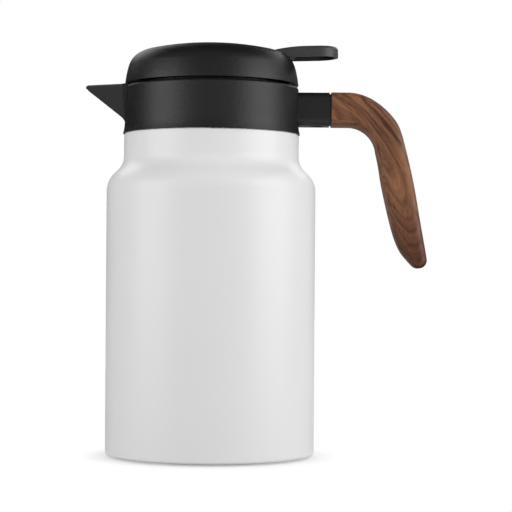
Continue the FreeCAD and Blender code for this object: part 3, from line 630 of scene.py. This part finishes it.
def place_lamps():
    """Two large soft boxes in front at the sides, and two wide strips high behind."""
    for name, place, width, height, power in LAMPS:
        bpy.ops.object.light_add(type="AREA", location=place)
        lamp = bpy.context.object
        lamp.name = name
        lamp.data.shape = "RECTANGLE"
        lamp.data.size = width
        lamp.data.size_y = height
        lamp.data.energy = power
        lamp.rotation_euler = (LAMP_TARGET - Vector(place)).to_track_quat("-Z", "Y").to_euler()


def place_camera(scene):
    """A camera where the photo's stood, with a long lens."""
    bpy.ops.object.camera_add(location=CAMERA_PLACE, rotation=CAMERA_TURN)
    camera = bpy.context.object
    camera.name = "photo_camera"
    camera.data.lens = CAMERA_LENS
    camera.data.sensor_width = CAMERA_SENSOR
    camera.data.shift_x = CAMERA_SHIFT[0]
    camera.data.shift_y = CAMERA_SHIFT[1]
    camera.data.clip_start = CAMERA_NEAREST
    scene.camera = camera


# Operators: one for each group of pieces, and one for the stage

class JUG_OT_coat_body(bpy.types.Operator):
    """Powder-coats the steel body"""
    bl_idname = "jug.coat_body"
    bl_label = "Coat the body"

    def execute(self, context):
        dress(powder_coat(context.scene.jug_sizes, context.scene.jug_colours), "outer_shell")
        return {"FINISHED"}


class JUG_OT_finish_plastic(bpy.types.Operator):
    """Gives the collar, lid and lever their moulded grain"""
    bl_idname = "jug.finish_plastic"
    bl_label = "Finish the plastic"

    def execute(self, context):
        sizes = context.scene.jug_sizes
        colours = context.scene.jug_colours
        black = moulded_plastic("black_moulded_plastic", colours.plastic, sizes)
        dress(black, "collar", "lid_dome", "lid_liner")
        # The lever gets the lighter copy of the black plastic: painted light for the light its side catches
        dress(moulded_plastic("black_plastic_painted_lighter", colours.lever, sizes), "thumb_lever")
        return {"FINISHED"}


class JUG_OT_finish_handle(bpy.types.Operator):
    """Gives the handle its walnut"""
    bl_idname = "jug.finish_handle"
    bl_label = "Finish the handle"

    def execute(self, context):
        dress(oiled_walnut(context.scene.jug_sizes, context.scene.jug_colours), "wood_handle")
        return {"FINISHED"}


class JUG_OT_finish_metal(bpy.types.Operator):
    """Gives the flask, base, pins and screws their metal"""
    bl_idname = "jug.finish_metal"
    bl_label = "Finish the metal"

    def execute(self, context):
        sizes = context.scene.jug_sizes
        colours = context.scene.jug_colours
        steel = turned_metal("satin_stainless_steel", colours.steel, sizes)
        dress(steel, "inner_flask", "base_plate", "getter", "handle_tenon", "hinge_pin", "lever_screws")
        dress(turned_metal("blackened_steel", colours.dark_steel, sizes), "handle_screw")
        dress(turned_metal("dull_brass", colours.brass, sizes), "vacuum_plug")
        return {"FINISHED"}


class JUG_OT_finish_soft(bpy.types.Operator):
    """Gives the seals, pad and foam their soft finishes"""
    bl_idname = "jug.finish_soft"
    bl_label = "Finish the seals and foam"

    def execute(self, context):
        colours = context.scene.jug_colours
        milky = moulded_silicone("milky_silicone", colours.silicone, SEAL_CLOUDINESS)
        dress(milky, "mouth_gasket", "lid_seal")
        dark = moulded_silicone("dark_silicone", colours.dark_silicone, cloudiness=0.0)
        dress(dark, "base_pad", "handle_spacer")
        dress(cream_foam(context.scene.jug_sizes, colours), "lid_insulation")
        return {"FINISHED"}


class JUG_OT_wind_spring(bpy.types.Operator):
    """Winds the closing spring round the hinge pin"""
    bl_idname = "jug.wind_spring"
    bl_label = "Wind the closing spring"

    def execute(self, context):
        sizes = context.scene.jug_sizes
        spring = wound_wire(sizes)
        fixed, fixed_way = spring_end(sizes, 0)
        draw_leg(spring, sizes.spring_wire, fixed, -fixed_way, sizes.spring_fixed_leg)
        free, free_way = spring_end(sizes, sizes.spring_turns)
        draw_leg(spring, sizes.spring_wire, free, free_way, sizes.spring_free_leg)
        bpy.ops.object.mode_set(mode="EDIT")
        bpy.ops.mesh.select_all(action="SELECT")
        bpy.ops.mesh.remove_doubles(threshold=MERGE_DISTANCE)
        bpy.ops.mesh.normals_make_consistent(inside=False)
        bpy.ops.object.mode_set(mode="OBJECT")
        bpy.ops.object.transform_apply(location=True)
        bpy.ops.object.shade_smooth_by_angle(angle=SMOOTH_ANGLE)
        spring.data.materials.append(spring_steel(context.scene.jug_colours))
        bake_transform(spring)
        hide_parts("lid_spring")
        return {"FINISHED"}


class JUG_OT_set_stage(bpy.types.Operator):
    """Builds the floor, lamps, white surround and camera"""
    bl_idname = "jug.set_stage"
    bl_label = "Set the stage"

    def execute(self, context):
        lay_floor(context.scene.jug_colours)
        light_world(context.scene)
        place_lamps()
        place_camera(context.scene)
        context.scene.view_settings.view_transform = "Standard"
        return {"FINISHED"}


class JUG_PT_panel(bpy.types.Panel):
    """The jug's pieces, sizes and colours"""
    bl_idname = "JUG_PT_panel"
    bl_label = "Thermal jug"
    bl_space_type = "VIEW_3D"
    bl_region_type = "UI"
    bl_category = "Jug"

    def draw(self, context):
        for operator in OPERATORS:
            self.layout.operator(operator.bl_idname)
        for group in (context.scene.jug_sizes, context.scene.jug_colours):
            for name in group.__annotations__:
                self.layout.prop(group, name)


OPERATORS = (
    JUG_OT_coat_body,
    JUG_OT_finish_plastic,
    JUG_OT_finish_handle,
    JUG_OT_finish_metal,
    JUG_OT_finish_soft,
    JUG_OT_wind_spring,
    JUG_OT_set_stage,
)
CLASSES = (JugSizes, JugColours) + OPERATORS + (JUG_PT_panel,)


def register():
    for cls in CLASSES:
        bpy.utils.register_class(cls)
    bpy.types.Scene.jug_sizes = bpy.props.PointerProperty(type=JugSizes)
    bpy.types.Scene.jug_colours = bpy.props.PointerProperty(type=JugColours)


def unregister():
    del bpy.types.Scene.jug_colours
    del bpy.types.Scene.jug_sizes
    for cls in reversed(CLASSES):
        bpy.utils.unregister_class(cls)


def main():
    register()
    bpy.ops.jug.coat_body()
    bpy.ops.jug.finish_plastic()
    bpy.ops.jug.finish_handle()
    bpy.ops.jug.finish_metal()
    bpy.ops.jug.finish_soft()
    bpy.ops.jug.wind_spring()
    bpy.ops.jug.set_stage()


if __name__ == "__main__":
    main()
